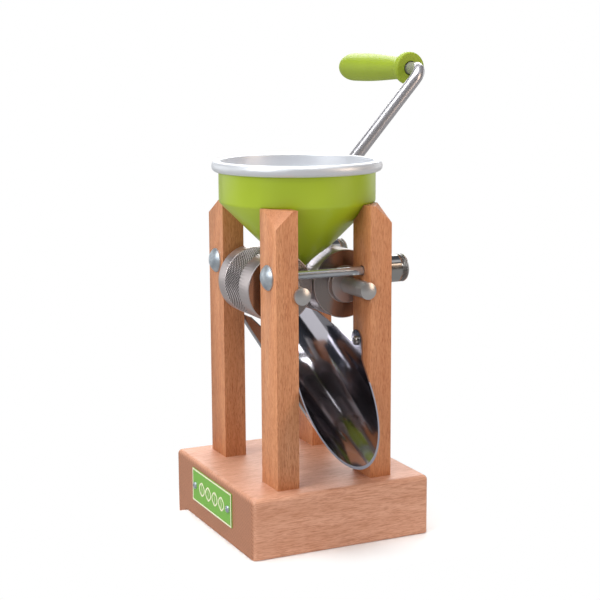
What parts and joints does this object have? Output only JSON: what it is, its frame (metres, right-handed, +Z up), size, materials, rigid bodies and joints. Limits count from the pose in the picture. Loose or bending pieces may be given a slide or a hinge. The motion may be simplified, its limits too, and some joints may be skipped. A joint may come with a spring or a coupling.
{
  "type": "nutcracker",
  "caption": "Crank-driven nutcracker: a funnel over two knurled steel rollers held between four wooden posts on a block, with a scooped metal chute below.",
  "frame": {"origin": "middle of the base's flat underside, which stands on the table top; the stop lip along the rear hangs below it, over the table's edge", "axes": "+X to the right seen from the front, where the chute comes out; +Y to the rear, where the crank is; +Z up"},
  "size_m": [0.2832, 0.392, 0.4055],
  "materials": {
    "beech": "satin oiled",
    "lime_lacquer": "satin lacquer outside, bare aluminium inside",
    "grip_lacquer": "gloss lacquer",
    "plate_green": "printed, satin",
    "roller_steel": "ground and knurled",
    "bright_steel": "polished",
    "chute_stainless": "mirror polished",
    "zinc_steel": "bright zinc plated"
  },
  "bodies": {
    "frame": {"base": "beech", "name_plate": "plate_green", "plate_screws": "zinc_steel", "post_front_left": "beech", "post_front_right": "beech", "post_rear_left": "beech", "post_rear_right": "beech", "post_screws": "zinc_steel", "carriage_bolt_front": "zinc_steel", "carriage_bolt_rear": "zinc_steel", "chute": "chute_stainless", "chute_screws": "bright_steel"},
    "drive": {"drive_roller": "roller_steel", "drive_axle": "bright_steel", "drive_pin": "bright_steel", "crank_hub": "bright_steel", "crank_grub_screw": "bright_steel", "crank_arm": "bright_steel"},
    "grip": {"crank_grip": "grip_lacquer"},
    "idler": {"idler_roller": "roller_steel", "idler_axle": "bright_steel", "idler_pin": "bright_steel"},
    "hopper": {"funnel": "lime_lacquer"},
    "washer_front": {"thumb_washer_front": "zinc_steel"},
    "washer_rear": {"thumb_washer_rear": "zinc_steel"},
    "nut_front": {"thumb_nut_front": "bright_steel"},
    "nut_rear": {"thumb_nut_rear": "bright_steel"}
  },
  "joints": [
    {"name": "crank_turn", "type": "hinge", "parent": "frame", "child": "drive", "pos_m": [0.0295, 0.11, 0.2076], "axis": [0, 1, 0], "continuous": true},
    {"name": "grip_turn", "type": "hinge", "parent": "drive", "child": "grip", "pos_m": [0.18477, 0.21, 0.38187], "axis": [0, 1, 0], "continuous": true},
    {"name": "idler_turn", "type": "hinge", "parent": "frame", "child": "idler", "pos_m": [-0.0295, 0, 0.2076], "axis": [0, 1, 0], "continuous": true},
    {"name": "funnel_lift", "type": "slide", "parent": "frame", "child": "hopper", "axis": [0, 0, 1], "range_m": [0, 0.05]},
    {"name": "nut_travel_front", "type": "slide", "parent": "frame", "child": "washer_front", "axis": [1, 0, 0], "range_m": [0, 0.01]},
    {"name": "nut_turn_front", "type": "hinge", "parent": "washer_front", "child": "nut_front", "pos_m": [0.062, -0.05495, 0.222], "axis": [1, 0, 0], "range_deg": [0, 2880]},
    {"name": "nut_travel_rear", "type": "slide", "parent": "frame", "child": "washer_rear", "axis": [1, 0, 0], "range_m": [0, 0.01]},
    {"name": "nut_turn_rear", "type": "hinge", "parent": "washer_rear", "child": "nut_rear", "pos_m": [0.062, 0.05495, 0.222], "axis": [1, 0, 0], "range_deg": [0, 2880]}
  ],
  "couplings": [
    {"joint": "nut_travel_front", "follows": "nut_turn_front", "m_per_rad": 0.00019894},
    {"joint": "nut_travel_rear", "follows": "nut_turn_rear", "m_per_rad": 0.00019894}
  ]
}
